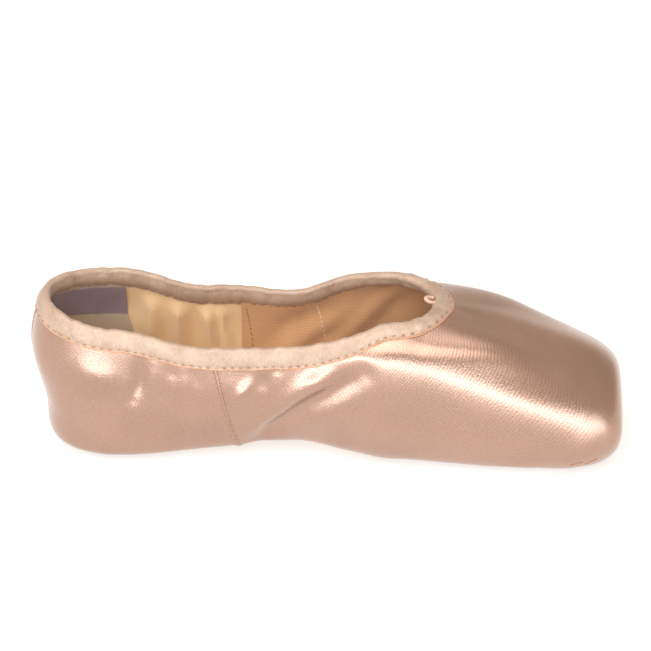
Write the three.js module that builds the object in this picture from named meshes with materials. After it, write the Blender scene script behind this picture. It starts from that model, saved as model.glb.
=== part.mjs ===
// A satin pointe shoe, standing empty on its sole. Millimetres, +X to the toe, +Y to the shoe's left, +Z up.
// The origin is on the floor, half way along the shoe. The shoe is cut straight, so it fits either foot.
import * as THREE from "three";

// Driving dimensions
const LENGTH = 241; // heel to platform
const HEEL_WIDTH = 54;
const HEEL_HEIGHT = 67; // collar at the back seam
const SIDE_HEIGHT = 56; // collar at the waist
const THROAT_HEIGHT = 66; // collar at the front of the opening
const PLATFORM_HEIGHT = 37; // top of the platform on the centre line
const ARCH_RISE = 3; // sole off the floor at the waist

const QUARTER_WALL = 1.4; // satin and canvas
const BOX_WALL = 2.6; // satin over the stiffened box
const OUTSOLE_THICKNESS = 1.6;
const OUTSOLE_LAP = 2.5; // how far the outsole covers the turned-under satin
const INSOLE_THICKNESS = 1.5;
const INSOLE_LAP = 3;
const BINDING_WIDTH = 8;
const BINDING_CLOTH = 0.8;
const LABEL_THICKNESS = 0.5;
const DRAWSTRING_DIAMETER = 1.5;
const GAP = 0.3; // between pieces that meet

// The sections are vertical planes. Along the sides they stand across the shoe. Round the heel and
// the toe they fan out about these two upright axes.
const HEEL_AXIS_X = -84;
const TOE_AXIS_X = 28;
const HEEL_REACH = LENGTH / 2 + HEEL_AXIS_X; // heel axis to the back seam
const TOE_REACH = LENGTH / 2 - TOE_AXIS_X; // toe axis to the platform
const FLOOR_CLEARANCE = OUTSOLE_THICKNESS + GAP; // floor to the satin that is turned under

// Each section is a smooth curve through six levels of the upper, from the edge that is turned under
// the foot to the collar. A row is a section: its x, then [out from the axis or centre line, up].
const HALF_HEEL = HEEL_WIDTH / 2;
const UNDER = FLOOR_CLEARANCE;
const ARCH = FLOOR_CLEARANCE + ARCH_RISE;
const SECTIONS = {
  // name       x       turned under   edge        girth          shoulder        crown        collar
  heelBack: [HEEL_AXIS_X, [21, UNDER], [30, 3.8], [32, 21], [HEEL_REACH, 43], [34.6, 57], [30.5, HEEL_HEIGHT]],
  heelSide: [HEEL_AXIS_X, [15, UNDER], [24.6, 3.6], [HALF_HEEL, 18], [26.3, 36], [24.9, 51], [22.8, 62.5]],
  quarter: [-46, [11.5, 3.2], [19.8, 4.8], [25, 19], [26.2, 35], [25.3, 47.5], [24.2, SIDE_HEIGHT]],
  waist: [-12, [7.5, ARCH], [16.3, 6.2], [23.8, 21], [26.2, 37], [25, 48.5], [23.6, SIDE_HEIGHT]],
  wing: [10, [12.5, 3.4], [20.6, 5], [27.3, 20], [28, 39], [25.9, 52.5], [22.8, 61]],
  ball: [TOE_AXIS_X, [15.5, UNDER], [24, 4], [30, 18], [30.3, 37.5], [27, 57.5], [19.2, THROAT_HEIGHT]],
  toe: [TOE_AXIS_X, [71, UNDER], [88, 4], [TOE_REACH, 17], [91, PLATFORM_HEIGHT], [58, 54.5], [18, THROAT_HEIGHT]],
};
const SIDE_SECTIONS = ["heelSide", "quarter", "waist", "wing", "ball"];
// Each level's outline round the heel and the toe. Square: 2 is an ellipse, more is boxier. Flare: how
// much the box widens again between the ball and the platform. Drop: how far a level falls from the
// centre line to the corners of the platform, so that the vamp is a dome.
const HEEL_OUTLINE = {
  // level  under  edge  girth  shoulder  crown  collar
  square: [2.2, 2.3, 2.2, 2.1, 2.05, 2.0],
  flare: [0, 0, 0, 0, 0, 0],
  drop: [0, 0, 0, 0, 0, 0],
};
const TOE_OUTLINE = {
  // level  under  edge  girth  shoulder  crown  collar
  square: [3.6, 4.3, 5.0, 4.6, 3.5, 1.85],
  flare: [0.2, 0.3, 0.12, 0, 0, 0],
  drop: [0, 0, 2, 6.5, 2.5, 0],
};
const LEVEL_COUNT = 6;
const GIRTH_LEVEL = 2;
const COLLAR_LEVEL = LEVEL_COUNT - 1;

// The empty quarters are slack. A row is a soft wave in the collar: side (+1 is the left), x, half
// length along the shoe, lift of the collar and lean outwards. It fades to nothing at the girth.
const SLACK_WAVES = [
  // side   x   reach  lift  lean
  [1, -92, 20, 0.5, 0.5],
  [1, -58, 14, -2, -1],
  [1, -14, 16, -1.5, -1.5],
  [1, 8, 14, 1, 1],
  [-1, -60, 18, -1, 1],
  [-1, -22, 14, 0.8, 0.8],
];

// Satin pleats, gathered under the toe round the front of the outsole.
const PLEATS_PER_SIDE = 6;
const PLEAT_DEPTH = 1;
const PLEAT_LEVEL = 0.55; // half way from the turned-under edge to the bottom edge

// Facets
const HEEL_STEPS = 12;
const SIDE_STEPS = 15;
const TOE_STEPS = 24;
const HALF_STEPS = HEEL_STEPS + SIDE_STEPS + TOE_STEPS;
const LOOP_STEPS = 2 * HALF_STEPS;
const WALL_STEPS = 14; // from the turned-under edge to the binding

const mix = (a, b, t) => a + (b - a) * t;
const bell = (d, reach) => Math.exp(-((d / reach) ** 2));
const smooth = (low, high, x) => THREE.MathUtils.smoothstep(x, low, high);

// A smooth value at x from rows of [x, value], level at both ends.
function eased(rows, x) {
  const last = rows.length - 1;
  const slope = (i) => (i <= 0 || i >= last ? 0 : (rows[i + 1][1] - rows[i - 1][1]) / (rows[i + 1][0] - rows[i - 1][0]));
  let i = 0;
  while (i < last - 1 && x > rows[i + 1][0]) i += 1;
  const span = rows[i + 1][0] - rows[i][0];
  const t = (x - rows[i][0]) / span;
  const rise = t * t * (3 - 2 * t);
  return mix(rows[i][1], rows[i + 1][1], rise)
    + span * t * (1 - t) * ((1 - t) * slope(i) - t * slope(i + 1));
}

// Distance from the axis to a rounded-square outline that reaches along the shoe and across it.
function outlineRadius(along, across, square, angle) {
  const c = Math.abs(Math.cos(angle) / along);
  const s = Math.abs(Math.sin(angle) / across);
  return (c ** square + s ** square) ** (-1 / square);
}

// A fan section between an end row and a side row. quarterTurn runs from 0 at the end to 90 degrees at the side.
function fanSection(endRow, sideRow, { square, flare, drop }, quarterTurn, facing) {
  const [axisX, ...ends] = endRow;
  const [, ...sides] = sideRow;
  const reach = ends[GIRTH_LEVEL][0];
  const width = sides[GIRTH_LEVEL][0];
  const angle = Math.atan2(width * Math.sin(quarterTurn), reach * Math.cos(quarterTurn));
  const levels = ends.map(([along, endUp], k) => {
    const [across, sideUp] = sides[k];
    const widening = 1 + flare[k] * (Math.sin(2 * quarterTurn) * Math.sin(quarterTurn)) ** 2;
    const out = widening * outlineRadius(along, across, square[k], angle);
    const fall = drop[k] * Math.sin(2 * quarterTurn) ** 2;
    return [out, mix(endUp, sideUp, Math.sin(quarterTurn) ** 2) - fall];
  });
  return { axisX, alongX: facing * Math.cos(angle), across: Math.sin(angle), levels };
}

// The section at a step of the half loop: 0 is the back seam, HALF_STEPS the middle of the platform.
function sectionAt(step) {
  const quarter = Math.PI / 2;
  if (step <= HEEL_STEPS) {
    const turn = (step / HEEL_STEPS) * quarter;
    return fanSection(SECTIONS.heelBack, SECTIONS.heelSide, HEEL_OUTLINE, turn, -1);
  }
  if (step >= HEEL_STEPS + SIDE_STEPS) {
    const turn = ((HALF_STEPS - step) / TOE_STEPS) * quarter;
    return fanSection(SECTIONS.toe, SECTIONS.ball, TOE_OUTLINE, turn, 1);
  }
  const axisX = mix(HEEL_AXIS_X, TOE_AXIS_X, (step - HEEL_STEPS) / SIDE_STEPS);
  const rows = SIDE_SECTIONS.map((name) => SECTIONS[name]);
  const levels = [];
  for (let k = 1; k <= LEVEL_COUNT; k += 1) {
    const column = (i) => eased(rows.map((row) => [row[0], row[k][i]]), axisX);
    levels.push([column(0), column(1)]);
  }
  return { axisX, alongX: 0, across: 1, levels };
}

// The section's curve in space, on one side of the shoe (+1 left, -1 right), with its slack.
function sectionCurve(step, side) {
  const { axisX, alongX, across, levels } = sectionAt(step);
  const points = levels.map(([out, up], k) => {
    const share = smooth(GIRTH_LEVEL, COLLAR_LEVEL, k);
    let lift = 0;
    let lean = 0;
    for (const [waveSide, waveX, reach, waveLift, waveLean] of SLACK_WAVES) {
      if (waveSide !== side) continue;
      const strength = share * across * bell(axisX + alongX * out - waveX, reach);
      lift += waveLift * strength;
      lean += waveLean * strength;
    }
    const radius = out + lean;
    return new THREE.Vector3(axisX + alongX * radius, side * across * radius, up + lift);
  });
  return new THREE.CatmullRomCurve3(points, false, "centripetal");
}

// The loop runs from the back seam along the right side to the toe and back along the left side.
function loopStep(i) {
  const n = ((i % LOOP_STEPS) + LOOP_STEPS) % LOOP_STEPS;
  return n <= HALF_STEPS ? { step: n, side: -1 } : { step: LOOP_STEPS - n, side: 1 };
}

// Pleats lower and raise the satin under the toe. They fade at the sole's cover and at the bottom edge.
function pleatDrop(step, level) {
  const fromFront = HALF_STEPS - step;
  if (fromFront > TOE_STEPS) return 0;
  const wave = Math.cos((fromFront / TOE_STEPS) * PLEATS_PER_SIDE * 2 * Math.PI);
  return PLEAT_DEPTH * wave * bell(level - PLEAT_LEVEL, 0.35) * smooth(TOE_STEPS, TOE_STEPS / 2, fromFront);
}

// Curves of the whole loop, and the wall's outer points at evenly spaced levels.
const CURVES = Array.from({ length: LOOP_STEPS }, (_, i) => {
  const { step, side } = loopStep(i);
  return sectionCurve(step, side);
});

function surfacePoint(i, level) {
  const n = ((i % LOOP_STEPS) + LOOP_STEPS) % LOOP_STEPS;
  const share = THREE.MathUtils.clamp(level / COLLAR_LEVEL, 0, 1);
  const point = CURVES[n].getPoint(share);
  point.z += pleatDrop(loopStep(n).step, level);
  return point;
}

const LEVEL_NUDGE = 0.02;
function surfaceNormal(i, level) {
  const low = Math.max(level - LEVEL_NUDGE, 0);
  const high = Math.min(level + LEVEL_NUDGE, COLLAR_LEVEL);
  const up = surfacePoint(i, high).sub(surfacePoint(i, low));
  const along = surfacePoint(i + 1, level).sub(surfacePoint(i - 1, level));
  return along.cross(up).normalize();
}

// The wall is thin satin and canvas at the heel, and thicker in the stiffened box.
function wallAt(x) {
  return mix(QUARTER_WALL, BOX_WALL, smooth(TOE_AXIS_X - 25, TOE_AXIS_X + 25, x));
}

// A point at a height in the wall: 0 is the satin's face, 1 the lining's, and beyond them by so many mm.
function wallPoint(i, level, depthShare, proud = 0) {
  const point = surfacePoint(i, level);
  const offset = proud - depthShare * wallAt(point.x);
  return point.addScaledVector(surfaceNormal(i, level), offset);
}

// A closed surface from rings of points. The rings join in order, and the last joins the first. Each
// four-sided facet folds along its shorter diagonal, so layers that lie on each other fold alike.
function ringsGeometry(rings) {
  const count = rings[0].length;
  const points = rings.flat();
  const index = [];
  rings.forEach((_, r) => {
    const next = (r + 1) % rings.length;
    for (let i = 0; i < count; i += 1) {
      const j = (i + 1) % count;
      const [a, b, c, d] = [r * count + i, r * count + j, next * count + j, next * count + i];
      const first = points[a].distanceTo(points[c]);
      const second = points[b].distanceTo(points[d]);
      if (first < second) index.push(a, b, c, a, c, d);
      else index.push(a, b, d, b, c, d);
    }
  });
  return indexed(points.flatMap((p) => [p.x, p.y, p.z]), index);
}

function indexed(positions, index) {
  const geometry = new THREE.BufferGeometry();
  geometry.setAttribute("position", new THREE.Float32BufferAttribute(positions, 3));
  geometry.setIndex(index);
  geometry.computeVertexNormals();
  return geometry;
}

const loopOf = (pointAt) => Array.from({ length: LOOP_STEPS }, (_, i) => pointAt(i));

// The level at a distance down the wall from the collar.
function levelBelowCollar(i, distance) {
  const stride = 0.05;
  let gone = 0;
  let level = COLLAR_LEVEL;
  while (gone < distance) {
    gone += surfacePoint(i, level).distanceTo(surfacePoint(i, level - stride));
    level -= stride;
  }
  return level;
}

// The levels under the binding, from its lower edge to the collar, for each step of the loop.
const BINDING_STEPS = 2;
const BINDING_LEVELS = Array.from({ length: BINDING_STEPS + 1 }, (_, s) => {
  const down = BINDING_WIDTH * (1 - s / BINDING_STEPS);
  return Array.from({ length: LOOP_STEPS }, (_unused, i) => levelBelowCollar(i, down));
});

// Upper: one hollow wall, open at the collar and underneath.
function upperGeometry() {
  const rows = [];
  for (let j = 0; j < WALL_STEPS; j += 1) {
    rows.push(BINDING_LEVELS[0].map((top) => (top * j) / WALL_STEPS));
  }
  rows.push(...BINDING_LEVELS);
  const outside = rows.map((levels) => loopOf((i) => wallPoint(i, levels[i], 0)));
  const inside = rows.map((levels) => loopOf((i) => wallPoint(i, levels[i], 1))).reverse();
  return ringsGeometry([...outside, ...inside]);
}

// Binding: a satin strip folded over the collar, outside and inside.
function bindingGeometry() {
  const near = GAP;
  const far = GAP + BINDING_CLOTH;
  const upwards = BINDING_LEVELS;
  const downwards = [...BINDING_LEVELS].reverse();
  const leg = (rows, depthShare, proud) => rows.map(
    (levels) => loopOf((i) => wallPoint(i, levels[i], depthShare, proud)),
  );
  const fold = (depthShare, proud, above) => loopOf((i) => {
    const top = surfacePoint(i, COLLAR_LEVEL);
    const rise = top.sub(surfacePoint(i, COLLAR_LEVEL - LEVEL_NUDGE)).normalize();
    return wallPoint(i, COLLAR_LEVEL, depthShare, proud).addScaledVector(rise, above);
  });
  return ringsGeometry([
    ...leg(upwards, 0, far),
    fold(0, near, far * 0.8),
    fold(0.5, 0, far),
    fold(1, -near, far * 0.8),
    ...leg(downwards, 1, -far),
    ...leg(upwards, 1, -near),
    fold(1, -near, near),
    fold(0, near, near),
    ...leg(downwards, 0, near),
  ]);
}

// A flat-cut sheet between two heights, its outline a lap beyond the turned-under edge. Both edges mirror
// each other, so strips across the shoe close its faces.
function soleSheetGeometry(lap, bottomAt, topAt) {
  const outline = Array.from({ length: HALF_STEPS + 1 }, (_, step) => {
    const { axisX, alongX, across, levels } = sectionAt(step);
    const [out, up] = levels[0];
    return { x: axisX + alongX * (out + lap), y: across * (out + lap), up };
  });
  const positions = [];
  const index = [];
  outline.forEach(({ x, y, up }) => {
    for (const side of [-1, 1]) positions.push(x, side * y, bottomAt(up), x, side * y, topAt(up));
  });
  const at = (step, side, top) => step * 4 + (side > 0 ? 2 : 0) + (top ? 1 : 0);
  for (let s = 0; s < HALF_STEPS; s += 1) {
    const t = s + 1;
    const quad = (a, b, c, d) => index.push(a, b, c, a, c, d);
    quad(at(s, -1, true), at(t, -1, true), at(t, 1, true), at(s, 1, true));
    quad(at(s, 1, false), at(t, 1, false), at(t, -1, false), at(s, -1, false));
    quad(at(s, -1, false), at(t, -1, false), at(t, -1, true), at(s, -1, true));
    quad(at(s, 1, true), at(t, 1, true), at(t, 1, false), at(s, 1, false));
  }
  return indexed(positions, index);
}

const outsoleGeometry = () => soleSheetGeometry(
  OUTSOLE_LAP,
  (up) => up - FLOOR_CLEARANCE,
  (up) => up - GAP,
);

// The insole lies on the turned-under edge, inside the wall.
const INSOLE_LIFT = BOX_WALL + 1.6 * GAP;
const insoleGeometry = () => soleSheetGeometry(
  INSOLE_LAP,
  (up) => up + INSOLE_LIFT,
  (up) => up + INSOLE_LIFT + INSOLE_THICKNESS,
);

// Label: a small woven patch on the lining, beside the back seam on the left.
const LABEL = { firstStep: 3, lastStep: 12, lowLevel: 3.35, highLevel: 4.1, rows: 5 };
function labelGeometry() {
  const columns = LABEL.lastStep - LABEL.firstStep;
  const face = (proud) => {
    const points = [];
    for (let c = 0; c <= columns; c += 1) {
      for (let r = 0; r <= LABEL.rows; r += 1) {
        const i = LOOP_STEPS - LABEL.firstStep - c;
        const level = mix(LABEL.lowLevel, LABEL.highLevel, r / LABEL.rows);
        points.push(wallPoint(i, level, 1, -proud));
      }
    }
    return points;
  };
  const back = face(GAP);
  const front = face(GAP + LABEL_THICKNESS);
  const at = (c, r) => c * (LABEL.rows + 1) + r;
  const index = [];
  const quad = (a, b, c, d) => index.push(a, b, c, a, c, d);
  const n = back.length;
  for (let c = 0; c < columns; c += 1) {
    for (let r = 0; r < LABEL.rows; r += 1) {
      quad(n + at(c, r), n + at(c + 1, r), n + at(c + 1, r + 1), n + at(c, r + 1));
      quad(at(c, r + 1), at(c + 1, r + 1), at(c + 1, r), at(c, r));
    }
    quad(at(c, 0), at(c + 1, 0), n + at(c + 1, 0), n + at(c, 0));
    quad(n + at(c, LABEL.rows), n + at(c + 1, LABEL.rows), at(c + 1, LABEL.rows), at(c, LABEL.rows));
  }
  for (let r = 0; r < LABEL.rows; r += 1) {
    quad(at(0, r + 1), at(0, r), n + at(0, r), n + at(0, r + 1));
    quad(at(columns, r), at(columns, r + 1), n + at(columns, r + 1), n + at(columns, r));
  }
  return indexed([...back, ...front].flatMap((p) => [p.x, p.y, p.z]), index);
}

// Drawstring: a small loop of cord that stands out of the binding at the front of the opening.
function drawstringGeometry() {
  const seat = surfacePoint(HALF_STEPS, COLLAR_LEVEL);
  const reach = GAP + BINDING_CLOTH + GAP + DRAWSTRING_DIAMETER / 2;
  const start = new THREE.Vector3(seat.x - reach, 0, seat.z);
  const loop = [
    // back, left, up from where the cord leaves the binding
    [0, -1.5, 0],
    [1.6, -2.2, 0.6],
    [3.4, -1.4, 1.1],
    [3.9, 0.4, 1.1],
    [2.6, 1.8, 0.7],
    [0.6, 1.7, 0.1],
  ].map(([back, left, up]) => start.clone().add(new THREE.Vector3(-back, left, up)));
  const section = new THREE.Shape().absarc(0, 0, DRAWSTRING_DIAMETER / 2, 0, 2 * Math.PI);
  const path = new THREE.CatmullRomCurve3(loop);
  return new THREE.ExtrudeGeometry(section, { steps: 16, curveSegments: 8, extrudePath: path, bevelEnabled: false });
}

function piece(name, geometry, color, roughness) {
  const mesh = new THREE.Mesh(geometry, new THREE.MeshStandardMaterial({ color, roughness, metalness: 0 }));
  mesh.name = name;
  return mesh;
}

const shoe = new THREE.Group();
shoe.add(
  piece("upper", upperGeometry(), "#d9b29c", 0.4),
  piece("outsole", outsoleGeometry(), "#b98f6a", 0.8),
  piece("insole", insoleGeometry(), "#cfa578", 0.9),
  piece("collar_binding", bindingGeometry(), "#dcc0ac", 0.5),
  piece("heel_label", labelGeometry(), "#a9939c", 0.9),
  piece("drawstring_loop", drawstringGeometry(), "#d8a890", 0.8),
);

export default shoe;
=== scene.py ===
# %% [markdown]
# # A satin pointe shoe
# A pointe shoe is a stiff box for the toes, a soft satin cover, a thin leather sole and very little else.
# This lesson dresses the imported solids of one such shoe: satin with its creases, a gathered binding,
# cotton linings, stitches and a leather sole. Everything is in metres in Blender. The sizes below are in
# millimetres, because that is how a shoemaker writes them, and `MM` turns them into metres.

import math

import bpy
import numpy as np
from mathutils import Matrix, Vector


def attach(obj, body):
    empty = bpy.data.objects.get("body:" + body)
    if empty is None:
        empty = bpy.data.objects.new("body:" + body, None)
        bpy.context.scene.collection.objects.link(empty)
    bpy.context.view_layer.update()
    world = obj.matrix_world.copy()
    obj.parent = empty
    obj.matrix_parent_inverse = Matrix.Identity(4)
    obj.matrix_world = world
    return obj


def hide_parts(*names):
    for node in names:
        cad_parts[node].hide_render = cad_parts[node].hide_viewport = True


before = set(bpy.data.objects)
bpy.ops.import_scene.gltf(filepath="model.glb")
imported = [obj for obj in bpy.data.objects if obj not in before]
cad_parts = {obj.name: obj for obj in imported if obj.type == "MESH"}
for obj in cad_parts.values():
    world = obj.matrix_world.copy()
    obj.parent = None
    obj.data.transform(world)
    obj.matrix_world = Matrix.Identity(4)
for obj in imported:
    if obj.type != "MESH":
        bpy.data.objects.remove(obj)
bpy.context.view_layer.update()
MM = 0.001
print("solids in the frame:", sorted(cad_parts))

# %% [markdown]
# ## Camera
# The shoe is seen from its right side, from about 35 degrees above the floor, through a long lens. A long
# lens from over a metre away keeps the heel and the toe at nearly the same scale. The camera aims a
# little above the shoe, so the shoe sits just below the middle of the picture.

# %% Camera
CAMERA_ELEVATION = math.radians(35)
CAMERA_AZIMUTH = math.radians(2)
CAMERA_DISTANCE = 1.1
PICTURE_PIXELS = 651
PIXELS_PER_METRE = 2420  # at the middle of the shoe
SENSOR_MM = 36
MIDDLE_HEIGHT = 26.4  # mm, of the point that the camera is placed about
AIM_ABOVE, AIM_LEFT = 53.5, 0.5  # pixels from that point to the middle of the picture

shoe_middle = Vector((0, 0, MIDDLE_HEIGHT * MM))
towards_camera = Vector((
    math.sin(CAMERA_AZIMUTH) * math.cos(CAMERA_ELEVATION),
    -math.cos(CAMERA_AZIMUTH) * math.cos(CAMERA_ELEVATION),
    math.sin(CAMERA_ELEVATION),
))
camera_place = shoe_middle + towards_camera * CAMERA_DISTANCE
picture_right = Vector((0, 0, 1)).cross(towards_camera).normalized()
picture_up = towards_camera.cross(picture_right)
aim = shoe_middle + picture_up * (AIM_ABOVE / PIXELS_PER_METRE)
aim -= picture_right * (AIM_LEFT / PIXELS_PER_METRE)

bpy.ops.object.select_all(action="DESELECT")
bpy.ops.object.camera_add(location=camera_place)
camera = bpy.context.object
camera.name = "camera"
camera.rotation_mode = "QUATERNION"
camera.rotation_quaternion = (aim - camera_place).to_track_quat("-Z", "Y")
camera.data.sensor_width = SENSOR_MM
camera.data.lens = SENSOR_MM * PIXELS_PER_METRE * CAMERA_DISTANCE / PICTURE_PIXELS
camera.data.clip_start = 0.05
camera.data.clip_end = 30
bpy.context.scene.camera = camera
print("lens:", round(camera.data.lens, 1), "mm")

# %% [markdown]
# ## Floor and light
# A white sheet of card lies under the shoe. The light comes from large soft boxes. A satin highlight is a
# picture of the lamp, so the lamps' places decide where the bright bands lie. A strip that stands low in
# front, just out of the picture, draws the long band on the near side of the toe and the bright patches
# of the heel. A wide box above the camera lights the inside. The room is dim and warm, so the top of the
# toe box, which reflects it, stays dark.

# %% Floor and light
FLOOR_SIZE = 8
ROOM_COLOUR, ROOM_STRENGTH = (1, 0.89, 0.79, 1), 0.63
COOL_WHITE = (0.86, 1.0, 1.12)

bpy.ops.mesh.primitive_plane_add(size=FLOOR_SIZE)
floor = bpy.context.object
floor.name = "floor"

world = bpy.data.worlds.new("studio")
bpy.context.scene.world = world
world.use_nodes = True
background = world.node_tree.nodes["Background"]
background.inputs["Color"].default_value = ROOM_COLOUR
background.inputs["Strength"].default_value = ROOM_STRENGTH


def soft_box(name, place, width, height, watts, colour=(1, 1, 1)):
    """A rectangular lamp that faces the shoe. The camera doesn't see the lamp itself."""
    bpy.ops.object.light_add(type="AREA", location=place)
    lamp = bpy.context.object
    lamp.name = name
    lamp.data.shape = "RECTANGLE"
    lamp.data.size = width
    lamp.data.size_y = height
    lamp.data.energy = watts
    lamp.data.color = colour
    lamp.rotation_mode = "QUATERNION"
    lamp.rotation_quaternion = (shoe_middle - Vector(place)).to_track_quat("-Z", "Y")
    lamp.visible_camera = False


soft_box("overhead_box", (0.0, 0.1, 1.5), 1.2, 0.8, 5)
soft_box("fill_box", (-0.3, -0.85, 1.15), 1.8, 1.2, 21)
soft_box("key_box", (-0.8, -1.15, 0.6), 0.7, 0.5, 2.5)
soft_box("low_box", (0.03, -0.36, 0.04), 1.0, 0.075, 1.3, COOL_WHITE)
soft_box("back_box", (0.4, 1.2, 0.25), 1.4, 0.35, 0.6)
bpy.context.scene.view_settings.view_transform = "Standard"

# %% [markdown]
# ## The shape of the shoe as a function
# The upper is one skin. A place on it has two numbers. `round_s` goes round the shoe: 0 at the back seam,
# along the right side to 3 at the middle of the platform, and back along the left side to 6. `level` goes
# up: 0 at the edge that is turned under the foot, 5 at the collar. Sections stand across the shoe along
# its sides and fan out round the heel and the toe. All the cloth pieces below take their place from this
# one function, so they lie on each other.

# %% Sizes of the last
HEEL_AXIS_X, TOE_AXIS_X = -84.0, 28.0
UNDER, ARCH = 1.9, 4.9  # height of the turned-under edge at the heel, and at the arch
QUARTER_WALL, BOX_WALL = 1.4, 2.6
WALL_BLEND = 25  # the wall thickens over this far on both sides of the toe's axis

# Each row is a section: its x, then (out, up) at six levels. The levels are the turned-under edge, the
# bottom edge, the girth, the shoulder, the crown and the collar.
HEEL_BACK = (HEEL_AXIS_X, (21, UNDER), (30, 3.8), (32, 21), (36.5, 43), (34.6, 57), (30.5, 67))
HEEL_SIDE = (HEEL_AXIS_X, (15, UNDER), (24.6, 3.6), (27, 18), (26.3, 36), (24.9, 51), (22.8, 62.5))
QUARTER = (-46, (11.5, 3.2), (19.8, 4.8), (25, 19), (26.2, 35), (25.3, 47.5), (24.2, 56))
WAIST = (-12, (7.5, ARCH), (16.3, 6.2), (23.8, 21), (26.2, 37), (25, 48.5), (23.6, 56))
WING = (10, (12.5, 3.4), (20.6, 5), (27.3, 20), (28, 39), (25.9, 52.5), (22.8, 61))
BALL = (TOE_AXIS_X, (15.5, UNDER), (24, 4), (30, 18), (30.3, 37.5), (27, 57.5), (19.2, 66))
TOE = (TOE_AXIS_X, (71, UNDER), (88, 4), (92.5, 17), (91, 37), (58, 54.5), (18, 66))
SIDE_ROWS = (HEEL_SIDE, QUARTER, WAIST, WING, BALL)

# How square each level is, seen from above. 2 is an ellipse.
HEEL_SQUARE = (2.2, 2.3, 2.2, 2.1, 2.05, 2.0)
TOE_SQUARE = (3.6, 4.3, 5.0, 4.6, 3.5, 1.85)
TOE_FLARE = (0.2, 0.3, 0.12, 0, 0, 0)  # how far each level swells towards the corners of the platform
TOE_DROP = (0, 0, 2, 6.5, 2.5, 0)  # how far each level falls towards the corners of the platform
HEEL_PLAIN = (0,) * 6  # the heel has no flare and no drop

# The empty quarters are slack: side (+1 left), x, reach, lift of the collar, lean outwards.
SLACK_WAVES = (
    (1, -92, 20, 0.5, 0.5),
    (1, -58, 14, -2, -1),
    (1, -14, 16, -1.5, -1.5),
    (1, 8, 14, 1, 1),
    (-1, -60, 18, -1, 1),
    (-1, -22, 14, 0.8, 0.8),
)


def smooth_step(low, high, x):
    """0 up to low, 1 from high on, and an even curve between."""
    t = np.clip((x - low) / (high - low), 0, 1)
    return t * t * (3 - 2 * t)


def bell(distance, reach):
    """1 at no distance, fading to nothing beyond the reach."""
    return np.exp(-((distance / reach) ** 2))


print("sections along a side:", len(SIDE_ROWS), "slack waves:", len(SLACK_WAVES))


# %% The sections
def eased(xs, ys, x):
    """A smooth value at x through the rows, level at both ends."""
    xs, ys = np.asarray(xs, float), np.asarray(ys, float)
    slopes = np.zeros_like(ys)
    slopes[1:-1] = (ys[2:] - ys[:-2]) / (xs[2:] - xs[:-2])
    i = np.clip(np.searchsorted(xs, x, side="right") - 1, 0, len(xs) - 2)
    span = xs[i + 1] - xs[i]
    t = (x - xs[i]) / span
    rise = t * t * (3 - 2 * t)
    bend = span * t * (1 - t) * ((1 - t) * slopes[i] - t * slopes[i + 1])
    return ys[i] + (ys[i + 1] - ys[i]) * rise + bend


def fan_levels(end_row, side_row, square, flare, drop, turn):
    """Directions and levels of sections that fan out round the heel or the toe."""
    reach, width = end_row[3][0], side_row[3][0]
    angle = np.arctan2(width * np.sin(turn), reach * np.cos(turn))
    outs, ups = [], []
    rows = zip(end_row[1:], side_row[1:], square, flare, drop)
    for (along, end_up), (across, side_up), n, widen, fall in rows:
        c = np.abs(np.cos(angle) / along)
        s = np.abs(np.sin(angle) / across)
        radius = (c**n + s**n) ** (-1 / n)
        outs.append(radius * (1 + widen * (np.sin(2 * turn) * np.sin(turn)) ** 2))
        ups.append(end_up + (side_up - end_up) * np.sin(turn) ** 2 - fall * np.sin(2 * turn) ** 2)
    return np.cos(angle), np.sin(angle), np.array(outs), np.array(ups)


def sections(half_s):
    """Axis x, direction and six levels of sections. half_s is 0 at the back seam, 3 at the platform."""
    quarter_turn = math.pi / 2
    heel_turn = np.clip(half_s, 0, 1) * quarter_turn
    toe_turn = (3 - np.clip(half_s, 2, 3)) * quarter_turn
    heel = fan_levels(HEEL_BACK, HEEL_SIDE, HEEL_SQUARE, HEEL_PLAIN, HEEL_PLAIN, heel_turn)
    toe = fan_levels(TOE, BALL, TOE_SQUARE, TOE_FLARE, TOE_DROP, toe_turn)
    side_x = HEEL_AXIS_X + (TOE_AXIS_X - HEEL_AXIS_X) * np.clip(half_s - 1, 0, 1)
    xs = [row[0] for row in SIDE_ROWS]
    side_out = np.array([eased(xs, [row[k][0] for row in SIDE_ROWS], side_x) for k in range(1, 7)])
    side_up = np.array([eased(xs, [row[k][1] for row in SIDE_ROWS], side_x) for k in range(1, 7)])
    in_heel, in_toe = half_s < 1, half_s > 2
    along = np.where(in_heel, -heel[0], np.where(in_toe, toe[0], 0))
    across = np.where(in_heel, heel[1], np.where(in_toe, toe[1], 1))
    out = np.where(in_heel, heel[2], np.where(in_toe, toe[2], side_out))
    up = np.where(in_heel, heel[3], np.where(in_toe, toe[3], side_up))
    return side_x, along, across, out, up


def half_and_side(round_s):
    """The same place counted from the back seam, from 0 to 3, and its side: -1 right, 1 left."""
    wrapped = np.mod(round_s, 6)
    return np.where(wrapped <= 3, wrapped, 6 - wrapped), np.where(wrapped <= 3, -1.0, 1.0)


ball_half_widths = sections(np.array([2.0]))[3][:, 0]
print("half widths at the ball, mm:", ball_half_widths.round(1))


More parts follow.
